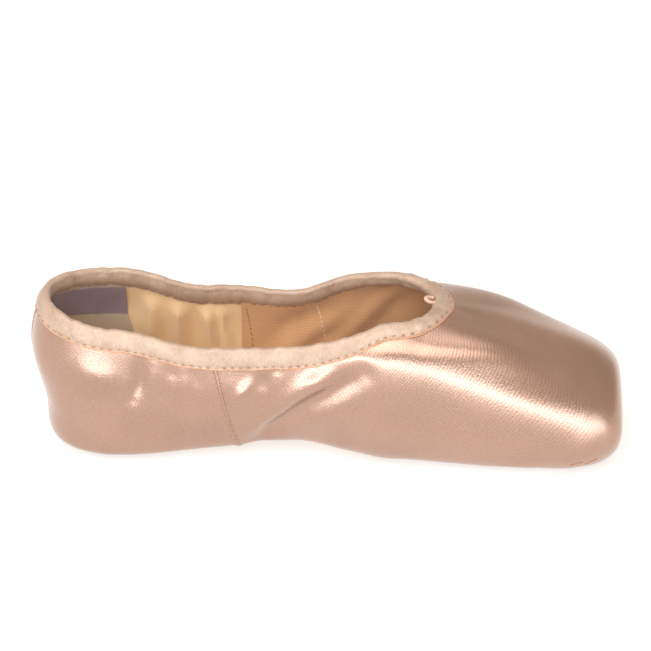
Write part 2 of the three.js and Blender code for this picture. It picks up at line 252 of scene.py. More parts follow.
# %% Points of the last
def smooth_last(round_s, level):
    """Points of the shoe's skin, in millimetres, before its pleats and creases."""
    round_s, level = np.broadcast_arrays(np.asarray(round_s, float), np.asarray(level, float))
    shape = round_s.shape
    half_s, side = half_and_side(round_s.ravel())
    level = np.clip(level.ravel(), 0, 5)
    axis_x, along, across, out, up = sections(half_s)
    for wave_side, wave_x, reach, lift, lean in SLACK_WAVES:
        for k in range(3, 6):
            share = smooth_step(2, 5, k)
            strength = share * across * bell(axis_x + along * out[k] - wave_x, reach) * (side == wave_side)
            up[k] = up[k] + lift * strength
            out[k] = out[k] + lean * strength
    knots = np.stack([axis_x + along * out, side * across * out, up], axis=-1)
    knots = np.concatenate([2 * knots[:1] - knots[1:2], knots, 2 * knots[-1:] - knots[-2:-1]])
    span = np.clip(np.floor(level).astype(int), 0, 4)
    t = (level - span)[:, None]
    column = np.arange(len(level))
    a, b, c, d = (knots[span + k, column] for k in range(4))
    ab, bc, cd = (np.sqrt(np.linalg.norm(q - p, axis=1))[:, None] for p, q in ((a, b), (b, c), (c, d)))
    leave = ((b - a) / ab - (c - a) / (ab + bc) + (c - b) / bc) * bc
    arrive = ((c - b) / bc - (d - b) / (bc + cd) + (d - c) / cd) * bc
    square_term = 3 * (c - b) - 2 * leave - arrive
    cube_term = 2 * (b - c) + leave + arrive
    points = b + leave * t + square_term * t**2 + cube_term * t**3
    return points.reshape(*shape, 3)


probe = smooth_last(np.linspace(0, 6, 200)[:, None], np.linspace(0, 5, 30)[None])
print("last, mm:", probe.min((0, 1)).round(1), "to", probe.max((0, 1)).round(1))

# %% [markdown]
# ## Creases and pleats
# Satin over canvas creases where the empty shoe sags: one long crease runs up from the arch, and small
# puckers hang from the binding. A crease is a row in a short table: the side it is on, its path up the
# side in x and z, how wide it is and how deep. Minus is a trough and plus is a ridge. Two broad, shallow
# rows on each side of the toe round its shoulder off, and one more fills its lower corner. The pleats
# under the toe are a wave that gets deeper towards the sole.

# %% Creases and pleats
CREASES = (
    # side, path in (x, z), half width, height
    (-1, ((-27, 9), (-21, 16), (-8, 29), (6, 41), (15, 48)), 4.6, -3.1),
    (-1, ((-28, 17), (-14, 34), (0, 46)), 4.2, 1.3),
    (-1, ((-36, 38), (-31, 35)), 7.0, 2.1),
    (-1, ((-24.5, 47), (-24, 37)), 2.2, -1.1),
    (-1, ((-8, 40), (4, 43)), 5.0, 0.8),
    (-1, ((-18, 8), (2, 16), (18, 22)), 9.0, -1.1),
    (-1, ((-102, 45), (-92, 43), (-82, 40)), 7.0, 1.5),
    (-1, ((-73, 51), (-74, 41), (-77, 33)), 2.8, -2.3),
    (-1, ((-69, 49), (-70, 38)), 3.0, 0.7),
    (-1, ((-98, 25), (-93, 12), (-90, 5)), 3.0, 0.5),
    (-1, ((-62, 50), (-60, 42)), 2.4, -0.8),
    (-1, ((-52, 50), (-50, 38)), 2.6, -0.8),
    (-1, ((-57, 46), (-56, 34)), 3.2, 0.8),
    (-1, ((-18, 51), (-20, 45)), 2.2, -0.7),
    (-1, ((36, 38), (60, 36), (85, 31), (104, 24)), 11.0, 1.3),
    (-1, ((40, 58), (60, 54), (80, 48), (100, 41)), 7.0, -1.2),
    (-1, ((92, 9), (104, 10), (114, 12)), 8.0, 1.5),
    (1, ((-30, 8), (-20, 21), (-8, 34), (8, 44)), 4.5, -2.2),
    (1, ((-28, 25), (-14, 40), (2, 49)), 4.5, 1.2),
    (1, ((-96, 46), (-80, 44)), 7.0, 1.8),
    (1, ((-66, 50), (-69, 36)), 3.2, -1.4),
    (1, ((-54, 49), (-50, 35)), 3.0, -0.9),
    (1, ((-88, 27), (-84, 8)), 3.5, 0.5),
    (1, ((36, 38), (60, 36), (85, 31), (104, 24)), 11.0, 1.3),
    (1, ((40, 58), (60, 54), (80, 48), (100, 41)), 7.0, -1.2),
    (1, ((92, 9), (104, 10), (114, 12)), 8.0, 1.5),
)
CREASE_END = 0.35  # the part of its height that a crease keeps at its ends
PLEATS_PER_SIDE = 10
PLEAT_DEPTH = 0.4
PLEATS_FROM, PLEATS_FULL = 2.25, 2.6  # round_s where the pleats begin, and where they are full
PLEAT_LEVEL, PLEAT_REACH = 0.6, 0.55  # level where they are deepest, and how far they reach from it
print("creases:", len(CREASES), "pleats:", 2 * PLEATS_PER_SIDE)


# %% Heights of creases and pleats
def path_distance(path, x, z):
    """Distance from places on a side to a path, and how far along it they lie, from 0 to 1."""
    best, share = np.full(x.shape, 1e9), np.zeros(x.shape)
    parts = len(path) - 1
    for k in range(parts):
        (x0, z0), (x1, z1) = path[k], path[k + 1]
        length = math.hypot(x1 - x0, z1 - z0)
        t = np.clip(((x - x0) * (x1 - x0) + (z - z0) * (z1 - z0)) / length**2, 0, 1)
        distance = np.hypot(x - x0 - t * (x1 - x0), z - z0 - t * (z1 - z0))
        nearer = distance < best
        best = np.where(nearer, distance, best)
        share = np.where(nearer, (k + t) / parts, share)
    return best, share


def crease_height(points):
    """How far the creases lift the satin at points on the skin."""
    x, y, z = points[..., 0], points[..., 1], points[..., 2]
    height = np.zeros(x.shape)
    for side, path, width, depth in CREASES:
        distance, share = path_distance(path, x, z)
        fade = CREASE_END + (1 - CREASE_END) * np.sin(math.pi * np.clip(share, 0.02, 0.98))
        height += depth * fade * bell(distance, width) * (np.where(y < 0, -1, 1) == side)
    return height


def pleat_height(round_s, level):
    """How far the pleats under the toe sink the satin."""
    half_s, _ = half_and_side(np.asarray(round_s, float))
    place = (3 - half_s) * PLEATS_PER_SIDE
    wave = 1 - 2 * np.abs(np.sin(math.pi * place)) ** 0.7
    under_toe = smooth_step(PLEATS_FROM, PLEATS_FULL, half_s)
    return PLEAT_DEPTH * wave * under_toe * bell(level - PLEAT_LEVEL, PLEAT_REACH)


arch_place = np.array([-8.0, -26.0, 29.0])
print("height in the long crease, mm:", crease_height(arch_place).round(2))


# %% The creased skin
def normals(round_s, level):
    """Directions straight out of the smooth skin."""
    nudge = 0.004
    low, high = np.clip(level - 0.02, 0, 5), np.clip(level + 0.02, 0, 5)
    along = smooth_last(round_s + nudge, level) - smooth_last(round_s - nudge, level)
    upwards = smooth_last(round_s, high) - smooth_last(round_s, low)
    normal = np.cross(along, upwards)
    return normal / np.linalg.norm(normal, axis=-1, keepdims=True)


def wall_at(x):
    """Thickness of the upper's wall, which grows towards the box."""
    blend = smooth_step(TOE_AXIS_X - WALL_BLEND, TOE_AXIS_X + WALL_BLEND, x)
    return QUARTER_WALL + (BOX_WALL - QUARTER_WALL) * blend


def skin(round_s, level, proud=0.0, depth_share=0.0):
    """Points on the creased satin. depth_share 1 is the wall's inner face. proud lifts a point outwards."""
    round_s, level = np.broadcast_arrays(np.asarray(round_s, float), np.asarray(level, float))
    points = smooth_last(round_s, level)
    height = crease_height(points) - pleat_height(round_s, level) + proud
    height = height - depth_share * wall_at(points[..., 0])
    return points + normals(round_s, level) * np.asarray(height)[..., None]


platform_girth = skin(np.array([3.0]), np.array([2.0]))
print("middle of the platform, mm:", platform_girth.round(1)[0])

# %% [markdown]
# ## Where the edges lie
# The binding and its stitches are set out by distance from the collar, as they are sewn. This cell
# measures each section from the collar down, so that a distance in millimetres can be turned into a
# level.

# %% Distance below the collar
RULER_S = np.linspace(0, 6, 721)
RULER_LEVELS = np.linspace(5, 1.5, 90)
ruler_points = smooth_last(RULER_S[:, None], RULER_LEVELS[None])
ruler_steps = np.linalg.norm(np.diff(ruler_points, axis=1), axis=-1)
RULER_MM = np.concatenate([np.zeros((len(RULER_S), 1)), np.cumsum(ruler_steps, axis=1)], axis=1)
collar_steps = np.linalg.norm(np.diff(ruler_points[:, 0], axis=0), axis=-1)
COLLAR_MM = np.concatenate([[0], np.cumsum(collar_steps)])


def level_below(round_s, distance):
    """The level at a distance below the collar, in millimetres."""
    round_s, distance = np.broadcast_arrays(np.asarray(round_s, float), np.asarray(distance, float))
    place = np.mod(round_s, 6) / 6 * (len(RULER_S) - 1)
    low = np.clip(place.astype(int), 0, len(RULER_S) - 2)
    part = place - low
    columns = RULER_MM[low] * (1 - part)[..., None] + RULER_MM[low + 1] * part[..., None]
    flat = columns.reshape(-1, len(RULER_LEVELS))
    found = [np.interp(d, row, RULER_LEVELS) for d, row in zip(distance.ravel(), flat)]
    return np.array(found).reshape(round_s.shape)


def collar_places(first_mm, last_mm, spacing):
    """round_s at even steps along the collar."""
    count = max(int((last_mm - first_mm) / spacing), 1)
    return np.interp(np.linspace(first_mm, last_mm, count + 1), COLLAR_MM, RULER_S)


def s_at_x(x, side):
    """round_s of the section that stands across the shoe at x."""
    half_s = 1 + (x - HEEL_AXIS_X) / (TOE_AXIS_X - HEEL_AXIS_X)
    return half_s if side < 0 else 6 - half_s


print("collar length:", round(float(COLLAR_MM[-1])), "mm")

# %% [markdown]
# ## Turning a flat grid into cloth
# A grid primitive is a flat sheet of squares. Each of its corners is moved to a place on the shoe, as a
# pattern piece is pulled over a last. The sheet keeps its flat layout as a UV map, measured along the
# cloth in metres, so a weave drawn on it has its real size. Solidify then gives the sheet its thickness.

# %% Cloth helpers
SEAM_MERGE = 0.002  # mm, corners nearer than this are joined


def select_only(piece):
    """Makes a piece the one that the next operator works on."""
    bpy.ops.object.select_all(action="DESELECT")
    piece.select_set(True)
    bpy.context.view_layer.objects.active = piece


def apply_modifier(piece, kind, **settings):
    """Adds a modifier with its settings and applies it to the mesh."""
    select_only(piece)
    modifier = piece.modifiers.new(kind.title(), kind)
    for name, value in settings.items():
        setattr(modifier, name, value)
    bpy.ops.object.modifier_apply(modifier=modifier.name)


def cloth_grid(name, columns, rows, place):
    """A grid with its corners moved to place(a, b), in millimetres. a and b run from 0 to 1."""
    bpy.ops.object.select_all(action="DESELECT")
    bpy.ops.mesh.primitive_grid_add(x_subdivisions=columns, y_subdivisions=rows, size=2, calc_uvs=True)
    piece = bpy.context.object
    piece.name = name
    mesh = piece.data
    mesh.name = name
    flat = np.empty(len(mesh.vertices) * 3, np.float32)
    mesh.vertices.foreach_get("co", flat)
    a, b = (flat.reshape(-1, 3)[:, :2].astype(float).T + 1) / 2
    i, j = np.rint(a * columns).astype(int), np.rint(b * rows).astype(int)
    points = place(a, b)
    mesh.vertices.foreach_set("co", (points * MM).astype(np.float32).ravel())
    sheet = np.zeros((columns + 1, rows + 1, 3))
    sheet[i, j] = points * MM
    u_steps = np.linalg.norm(np.diff(sheet, axis=0), axis=-1).mean(1)
    v_steps = np.linalg.norm(np.diff(sheet, axis=1), axis=-1)
    u = np.concatenate([[0], np.cumsum(u_steps)])[i]
    v = np.concatenate([np.zeros((columns + 1, 1)), np.cumsum(v_steps, axis=1)], axis=1)[i, j]
    corners = np.empty(len(mesh.loops), np.int32)
    mesh.loops.foreach_get("vertex_index", corners)
    layout = np.stack([u, v], axis=1)[corners].astype(np.float32)
    mesh.uv_layers.active.data.foreach_set("uv", layout.ravel())
    mesh.update()
    return piece


# %% Seams and finish
def close_seams(piece):
    """Joins the grid's edges where they meet."""
    select_only(piece)
    bpy.ops.object.mode_set(mode="EDIT")
    bpy.ops.mesh.select_all(action="SELECT")
    bpy.ops.mesh.remove_doubles(threshold=SEAM_MERGE * MM)
    bpy.ops.object.mode_set(mode="OBJECT")


def finish_piece(piece, material, node=None, angle=50):
    """Shades a piece, gives it its material and hangs it on the frame."""
    select_only(piece)
    bpy.ops.object.shade_smooth_by_angle(angle=math.radians(angle))
    piece.data.materials.clear()
    piece.data.materials.append(material)
    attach(piece, "root")
    if node:
        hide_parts(node)
    print(piece.name, len(piece.data.polygons), "faces")


def round_even(a):
    """Spreads a grid's columns round the shoe, closest at the heel and the toe where it turns most."""
    knots = np.array([0, 0.11, 0.24, 0.5, 0.76, 0.89, 1])
    return np.interp(a, knots, [0, 1, 2, 3, 4, 5, 6])


# %% [markdown]
# ## Materials
# Every colour is written as it looks on a screen, in sRGB hex, and one function turns it to the linear
# values that Blender mixes. One more function adds a node with its settings and its links.

# %% Material helpers
def linear(hex_colour):
    """Linear red, green, blue and alpha of an sRGB hex colour."""
    channels = [int(hex_colour[k : k + 2], 16) / 255 for k in (1, 3, 5)]
    return tuple(c / 12.92 if c <= 0.04045 else ((c + 0.055) / 1.055) ** 2.4 for c in channels) + (1.0,)


def add(tree, kind, values=None, links=None, **settings):
    """Adds a node: settings on the node, values on its inputs, links from other nodes' outputs."""
    node = tree.nodes.new(kind)
    for name, value in settings.items():
        setattr(node, name, value)
    for name, value in (values or {}).items():
        node.inputs[name].default_value = value
    for name, output in (links or {}).items():
        tree.links.new(output, node.inputs[name])
    return node


def new_material(name, **shader_values):
    """A material with a Principled shader whose even values are set on its own sockets."""
    material = bpy.data.materials.new(name)
    material.use_nodes = True
    shader = material.node_tree.nodes["Principled BSDF"]
    for socket, value in shader_values.items():
        shader.inputs[socket.replace("_", " ").title().replace("Ior", "IOR")].default_value = value
    return material, material.node_tree, shader


def wave_scale(spacing_mm):
    """Scale of a wave texture whose lines lie this far apart."""
    return math.tau / 20 / (spacing_mm * MM)


def average(tree, first, second):
    """The middle of two patterns."""
    both = add(tree, "ShaderNodeMath", links={0: first, 1: second}, operation="ADD")
    return add(tree, "ShaderNodeMath", {1: 0.5}, {0: both.outputs[0]}, operation="MULTIPLY").outputs[0]


def colour_by(tree, shader, pattern, dark, light):
    """Colours a shader by a pattern, between two stops: each is a position and a hex colour."""
    ramp = add(tree, "ShaderNodeValToRGB", links={"Fac": pattern})
    for stop, (position, hex_colour) in zip(ramp.color_ramp.elements, (dark, light)):
        stop.position = position
        stop.color = linear(hex_colour)
    tree.links.new(ramp.outputs["Color"], shader.inputs["Base Color"])


def raise_by(tree, shader, pattern, strength, height_mm):
    """Raises a shader's surface by a pattern."""
    values = {"Strength": strength, "Distance": height_mm * MM}
    relief = add(tree, "ShaderNodeBump", values, {"Height": pattern})
    tree.links.new(relief.outputs["Normal"], shader.inputs["Normal"])


# %% [markdown]
# ### Polyester satin
# Satin floats most of its threads on the face, so it shines along the cloth like brushed metal and its
# sheen takes the colour of the thread. Much of the shader is metallic for that, and anisotropy stretches
# the shine across the floats. Polyester also has a clear, glassy surface, so the brightest part of a
# highlight is nearly white: a coat gives that. The threads are about 0.1 mm apart, far finer than a
# pixel, so the grain is drawn coarser than it is, at about 1 mm: slubs along the thread, and the slanted
# lines that the floats make.

# %% Satin
TWILL_MM = 1.0  # slanted lines of the weave, drawn coarser than the real 0.3 mm so that they show
TWILL_SLANT = math.radians(32)
TWILL_SHARE = 0.28  # how much of the grain is slanted lines, the rest is slubs
SLUBS_PER_METRE = (700, 1000, 1)  # slubs of about 1.4 by 1 mm, coarser than the real thread
CLOUDS_PER_METRE = 28.0

satin, tree, shader = new_material(
    "polyester_satin",
    metallic=0.85,
    roughness=0.27,
    anisotropic=0.4,
    coat_weight=0.8,
    coat_roughness=0.27,
    coat_ior=1.8,
)
cloth = add(tree, "ShaderNodeUVMap").outputs["UV"]
along_threads = add(tree, "ShaderNodeMapping", {"Scale": SLUBS_PER_METRE}, {"Vector": cloth})
slubs = add(
    tree,
    "ShaderNodeTexNoise",
    {"Scale": 1.0, "Detail": 3.0, "Roughness": 0.6},
    {"Vector": along_threads.outputs[0]},
)
slanted = add(tree, "ShaderNodeMapping", {"Rotation": (0, 0, TWILL_SLANT)}, {"Vector": cloth})
twill = add(
    tree,
    "ShaderNodeTexWave",
    {"Scale": wave_scale(TWILL_MM), "Distortion": 4.0, "Detail": 3.0, "Detail Scale": 2.0},
    {"Vector": slanted.outputs[0]},
)
grain = add(
    tree,
    "ShaderNodeMix",
    {"Factor": TWILL_SHARE},
    {2: slubs.outputs["Fac"], 3: twill.outputs["Fac"]},
    data_type="FLOAT",
).outputs[0]
clouds = add(tree, "ShaderNodeTexNoise", {"Scale": CLOUDS_PER_METRE, "Detail": 2.0}, {"Vector": cloth})
mottled = average(tree, grain, clouds.outputs["Fac"])
colour_by(tree, shader, mottled, (0.3, "#99735C"), (0.7, "#B58E78"))
raise_by(tree, shader, grain, 0.8, 0.1)
threads = add(tree, "ShaderNodeTangent", direction_type="UV_MAP")
tree.links.new(threads.outputs["Tangent"], shader.inputs["Tangent"])
print("made", satin.name)

# %% [markdown]
# ### Satin tape and cottons
# The binding is a paler satin tape. Its cross threads show as fine uneven ribs. The linings are plain
# cotton: cream drill on the quarters, a grey brushed patch round the heel, and a tan twill with fine
# lengthwise ribs in front. The label, the cord and the sewing threads are cottons too.

# %% Satin tape
RIBS_PER_METRE = (2200, 500, 1)  # ribs of about 0.5 mm along the tape and 2 mm across it
BLOTCHES_PER_METRE = 110.0

tape, tree, shader = new_material(
    "satin_tape", metallic=0.12, roughness=0.45, sheen_weight=0.2, sheen_roughness=0.4
)
cloth = add(tree, "ShaderNodeUVMap").outputs["UV"]
across_tape = add(tree, "ShaderNodeMapping", {"Scale": RIBS_PER_METRE}, {"Vector": cloth})
ribs = add(
    tree,
    "ShaderNodeTexNoise",
    {"Scale": 1.0, "Detail": 3.0, "Roughness": 0.6},
    {"Vector": across_tape.outputs[0]},
)
blotches = add(tree, "ShaderNodeTexNoise", {"Scale": BLOTCHES_PER_METRE, "Detail": 3.0}, {"Vector": cloth})
mottled = average(tree, ribs.outputs["Fac"], blotches.outputs["Fac"])
colour_by(tree, shader, mottled, (0.35, "#A0846E"), (0.65, "#BFA692"))
raise_by(tree, shader, mottled, 0.6, 0.2)
print("made", tape.name)


# %% Cottons
def cotton(name, dark, light, rib_mm, direction, roughness=0.9, strength=0.4):
    """A plain woven cotton with ribs in one direction and a soft mottle."""
    material, tree, shader = new_material(name, roughness=roughness, sheen_weight=0.25, sheen_roughness=0.6)
    cloth = add(tree, "ShaderNodeUVMap").outputs["UV"]
    ribs = add(
        tree,
        "ShaderNodeTexWave",
        {"Scale": wave_scale(rib_mm), "Distortion": 1.2, "Detail": 2.0, "Detail Scale": 2.0},
        {"Vector": cloth},
        bands_direction=direction,
    )
    mottle = add(tree, "ShaderNodeTexNoise", {"Scale": 90.0, "Detail": 4.0}, {"Vector": cloth})
    mixed = add(
        tree,
        "ShaderNodeMix",
        {"Factor": 0.5},
        {2: ribs.outputs["Fac"], 3: mottle.outputs["Fac"]},
        data_type="FLOAT",
    ).outputs[0]
    colour_by(tree, shader, mixed, (0.25, dark), (0.75, light))
    raise_by(tree, shader, mixed, strength, 0.2)
    print("made", name)
    return material


cream_drill = cotton("cream_cotton_drill", "#DBB588", "#EBCDA2", 0.5, "Y", strength=0.25)
grey_flannel = cotton("grey_brushed_cotton", "#A8957F", "#BCAA94", 0.6, "X", strength=0.5)
tan_twill = cotton("tan_cotton_twill", "#BD8D62", "#D2A67B", 0.9, "Y")
label_tape = cotton("lilac_woven_tape", "#75646F", "#8D7B85", 0.7, "Y")
raw_edge_cotton = cotton("raw_cotton_edge", "#B27C54", "#CC9870", 0.5, "X", strength=0.6)
cord_cotton = cotton("pink_cotton_cord", "#D9A48B", "#EFC9B3", 0.9, "DIAGONAL", strength=0.6)
brown_thread = cotton("brown_sewing_thread", "#96613F", "#B57C58", 0.4, "DIAGONAL", roughness=0.7)
pale_thread = cotton("pale_sewing_thread", "#E7CFB0", "#F4E4CC", 0.4, "DIAGONAL", roughness=0.7)

# %% [markdown]
# ### Leather and card
# The sole is buffed leather, with fine pores and soft, uneven patches. The floor is white card that glows
# a little, so that it stays white under the dim light.

# %% Leather and card
PORE_MM = 0.9
PATCHES_PER_METRE = 40.0

leather, tree, shader = new_material("buffed_split_leather", roughness=0.75)
hide = add(tree, "ShaderNodeTexCoord").outputs["Object"]
pores = add(tree, "ShaderNodeTexVoronoi", {"Scale": 1000 / PORE_MM, "Randomness": 1.0}, {"Vector": hide})
patches = add(tree, "ShaderNodeTexNoise", {"Scale": PATCHES_PER_METRE, "Detail": 5.0}, {"Vector": hide})
colour_by(tree, shader, patches.outputs["Fac"], (0.3, "#A97B57"), (0.7, "#C59A74"))
raise_by(tree, shader, pores.outputs["Distance"], 0.3, 0.3)

white_card, _, shader = new_material("white_card", roughness=0.9, emission_strength=0.68)
shader.inputs["Base Color"].default_value = linear("#A6A4A2")
shader.inputs["Emission Color"].default_value = linear("#FFFDFB")
floor.data.materials.append(white_card)
print("made", leather.name, "and", white_card.name)

# %% [markdown]
# ## The satin upper
# One sheet goes right round the shoe, from the edge under the foot to the collar. Solidify turns it into
# a wall. The grid's first and last columns meet at the back seam and are joined before that.

# %% Satin upper
SATIN_COLUMNS, SATIN_ROWS = 560, 80
SATIN_CLOTH = 0.8  # mm


def satin_place(a, b):
    """The sheet's rows lie closer near the sole, where the cloth turns under."""
    level = 5 * (0.75 * b + 0.25 * b**1.6)
    return skin(round_even(a), level)


upper = cloth_grid("satin_upper", SATIN_COLUMNS, SATIN_ROWS, satin_place)
close_seams(upper)
apply_modifier(upper, "SOLIDIFY", thickness=SATIN_CLOTH * MM, offset=-1)
finish_piece(upper, satin, "upper")

# %% [markdown]
# ## The linings
# Cottons line the shoe. Each is a sheet set on the inner face of the wall. The heel lining is gathered
# where the collar pulls it in, so it waves from side to side. A brushed patch covers it round the heel,
# and the front lining overlaps it at a seam on each side.

# %% Shapes of the linings
LINING_SEAM_X = -36
LINING_OVERLAP = 5  # mm of the heel lining under the front one
LINING_TOP = 4.0  # mm below the collar, under the binding
LINING_FOOT = 0.12  # level of its lower edge
LINING_CLOTH = 0.4
GATHER_HEIGHT = 40  # a gather's x is given at this height
HEEL_LINING_INSET, PATCH_INSET, FRONT_LINING_INSET = 0.1, 0.65, 0.7  # mm inside the wall
PATCH_REACH, PATCH_TAPER = 1.1, 0.14  # round_s from the back seam to its ends, and how much less on top
HEEL_GATHERS = (
    # x, half width, height, lean
    (-74, 3.0, 3.4, 0.1),
    (-68, 1.8, -0.8, 0.1),
    (-62, 2.4, 3.8, 0.0),
    (-56, 2.0, -0.8, 0.0),
    (-50, 2.4, 3.6, -0.1),
    (-44, 1.8, 2.2, -0.1),
)
FRONT_FOLDS = ((14, 5.0, 1.6, 0.8), (24, 4.5, -0.6, 0.8))


def lining_level(round_s, share):
    """Level on a lining, from its lower edge at 0 to its upper edge at 1."""
    return LINING_FOOT + (level_below(round_s, LINING_TOP) - LINING_FOOT) * share


def lining_place(first_s, last_s, inset, gathers):
    """A place function for a lining between two places round the shoe, waved by its gathers."""

    def place(a, b):
        round_s = first_s + (last_s - first_s) * a
        level = lining_level(round_s, b)
        points = smooth_last(round_s, level)
        wave = np.zeros(len(a))
        shown = smooth_step(0.2, 0.6, b) * (1 - smooth_step(0.78, 0.91, b))
        for x, width, height, lean in gathers:
            leaning_x = x + lean * (points[:, 2] - GATHER_HEIGHT)
            wave = wave + height * shown * bell(points[:, 0] - leaning_x, width)
        return skin(round_s, level, -inset - wave, 1.0)

    return place


def heel_patch_place(a, b):
    """The brushed patch reaches as far to both sides of the back seam, less at its top."""
    reach = PATCH_REACH - PATCH_TAPER * b
    round_s = -reach + 2 * reach * a
    return skin(round_s, lining_level(round_s, b), -PATCH_INSET, 1.0)


print("gathers in the heel lining:", len(HEEL_GATHERS), "folds in front:", len(FRONT_FOLDS))

# %% Linings
heel_ends = [s_at_x(LINING_SEAM_X + LINING_OVERLAP, 1) - 6, s_at_x(LINING_SEAM_X + LINING_OVERLAP, -1)]
front_ends = [s_at_x(LINING_SEAM_X, -1), s_at_x(LINING_SEAM_X, 1)]
heel_lining_place = lining_place(*heel_ends, HEEL_LINING_INSET, HEEL_GATHERS)
front_lining_place = lining_place(*front_ends, FRONT_LINING_INSET, FRONT_FOLDS)

for name, columns, rows, place, material in (
    ("heel_lining", 180, 40, heel_lining_place, cream_drill),
    ("heel_patch", 90, 30, heel_patch_place, grey_flannel),
    ("front_lining", 220, 40, front_lining_place, tan_twill),
):
    lining = cloth_grid(name, columns, rows, place)
    apply_modifier(lining, "SOLIDIFY", thickness=LINING_CLOTH * MM, offset=-1)
    finish_piece(lining, material)

# %% [markdown]
# ## The binding
# A strip of satin is folded over the collar and sewn through, with a cord inside that gathers it. Its
# profile runs up the outside, over the edge and down the inside. Gathers are small waves across the
# strip, and the stitch line is a groove near the lower edge. The strip is pulled narrower where the
# collar turns to the throat.

# %% Shape of the binding
BINDING_WIDTH = 7.2
BINDING_CLOTH = 0.6
BINDING_STAND = 0.65  # middle of the cloth off the upper's faces
STITCH_INSET = 0.8  # stitch line above the binding's lower edge
THROAT_NARROWING, FRONT_WIDENING = 2.4, 0.8
OUTER_PUFF, INNER_PUFF = 0.4, 1.0
GROOVE_DEPTH, GROOVE_REACH = 0.25, 0.7
GATHER_DEPTH = 0.15
FOLD_START, FOLD_END = 0.4, 0.6  # shares of the strip's profile where it leaves and meets the wall


def binding_width(round_s):
    """The strip narrows where the collar turns to the throat, and widens a little at the front."""
    half_s, _ = half_and_side(np.asarray(round_s, float))
    narrowing = THROAT_NARROWING * smooth_step(1.7, 2.05, half_s)
    return BINDING_WIDTH - narrowing + FRONT_WIDENING * smooth_step(2.3, 2.9, half_s)


def gather_wave(round_s):
    """An uneven ripple along the collar, about 0.3 mm high."""
    run = np.interp(np.mod(round_s, 6), RULER_S, COLLAR_MM)
    ripple = np.sin(run / 1.31) + 0.7 * np.sin(run / 0.83 + 1.3) + 0.8 * np.sin(run / 2.17 + 0.4)
    return GATHER_DEPTH * ripple


def binding_side(round_s, profile, wave):
    """The strip where it lies on the outside or the inside of the wall."""
    inner = profile > FOLD_END
    below_fold = np.where(inner, (profile - FOLD_END) / (1 - FOLD_END), (FOLD_START - profile) / FOLD_START)
    width = binding_width(round_s)
    drop = np.clip(below_fold, 0, 1) * width
    bulge = np.sin(math.pi * np.clip(drop / (width - STITCH_INSET), 0, 1))
    puff = np.where(inner, INNER_PUFF, OUTER_PUFF) * bulge + wave * (drop > 0.5)
    groove = GROOVE_DEPTH * bell(drop - width + STITCH_INSET, GROOVE_REACH)
    stand = BINDING_STAND + puff - groove
    level = level_below(round_s, drop)
    return skin(round_s, level, np.where(inner, -stand, stand), np.where(inner, 1.0, 0.0))


def binding_fold(round_s, profile, wave):
    """The strip where it turns over the collar's edge, half round."""
    top = np.full(len(round_s), 5.0)
    middle = skin(round_s, top, 0.0, 0.5)
    outwards = normals(round_s, top)
    rise = smooth_last(round_s, top) - smooth_last(round_s, top - 0.03)
    rise /= np.linalg.norm(rise, axis=1, keepdims=True)
    turn = np.clip((profile - FOLD_START) / (FOLD_END - FOLD_START), 0, 1) * math.pi
    radius = BINDING_STAND + wall_at(middle[:, 0]) / 2
    sideways = outwards * (radius * np.cos(turn))[:, None]
    return middle + sideways + rise * ((radius + wave) * np.sin(turn))[:, None]


def binding_place(a, b):
    """Up the outside, over the edge and down the inside."""
    round_s = round_even(a)
    wave = gather_wave(round_s)
    on_wall = (b < FOLD_START) | (b > FOLD_END)
    return np.where(on_wall[:, None], binding_side(round_s, b, wave), binding_fold(round_s, b, wave))


throat_width = float(binding_width(2.15))
print("binding width, mm:", BINDING_WIDTH, "at the sides,", round(throat_width, 1), "at the throat")

# %% Binding
binding = cloth_grid("satin_binding", 640, 30, binding_place)
close_seams(binding)
apply_modifier(binding, "SOLIDIFY", thickness=BINDING_CLOTH * MM, offset=0)
finish_piece(binding, tape, "collar_binding", angle=80)

# %% [markdown]
# ## The raw edge under the binding
# Under the binding's lower edge a thin line of cut cotton shows. It is a narrow strip that lies flat on
# the satin.

# %% Raw edge
RAW_EDGE_LAP, RAW_EDGE_WIDTH = 0.9, 1.45  # how far it starts under the binding, and its whole width
RAW_EDGE_PROUD = 0.28
RAW_EDGE_CLOTH = 0.4


def raw_edge_place(a, b):
    """A strip with an uneven lower edge, its rows from the lower edge up."""
    round_s = round_even(a)
    drop = binding_width(round_s) - RAW_EDGE_LAP + RAW_EDGE_WIDTH * (1 - b)
    drop = drop + 0.5 * gather_wave(round_s + 0.01)
    return skin(round_s, level_below(round_s, drop), RAW_EDGE_PROUD)


raw_edge = cloth_grid("raw_edge", 480, 4, raw_edge_place)
close_seams(raw_edge)
apply_modifier(raw_edge, "SOLIDIFY", thickness=RAW_EDGE_CLOTH * MM, offset=0)
finish_piece(raw_edge, raw_edge_cotton)

# %% [markdown]
# ## Stitches
# A machine stitch is a short fat thread that dips at both ends. One is made from a sphere, flattened and
# drawn out, then copied along each seam and turned to lie along it. The copies of a seam are joined into
# one piece.

# %% Stitches
THREAD = 0.5  # width of a stitch
THREAD_FLATNESS = 0.8  # a stitch's height over its width
BINDING_STITCH, BINDING_STITCH_STEP = 1.7, 3.3
BINDING_STITCH_LIFT = 0.4  # off the middle of the binding's cloth
SIDES = ((-1, "right"), (1, "left"))


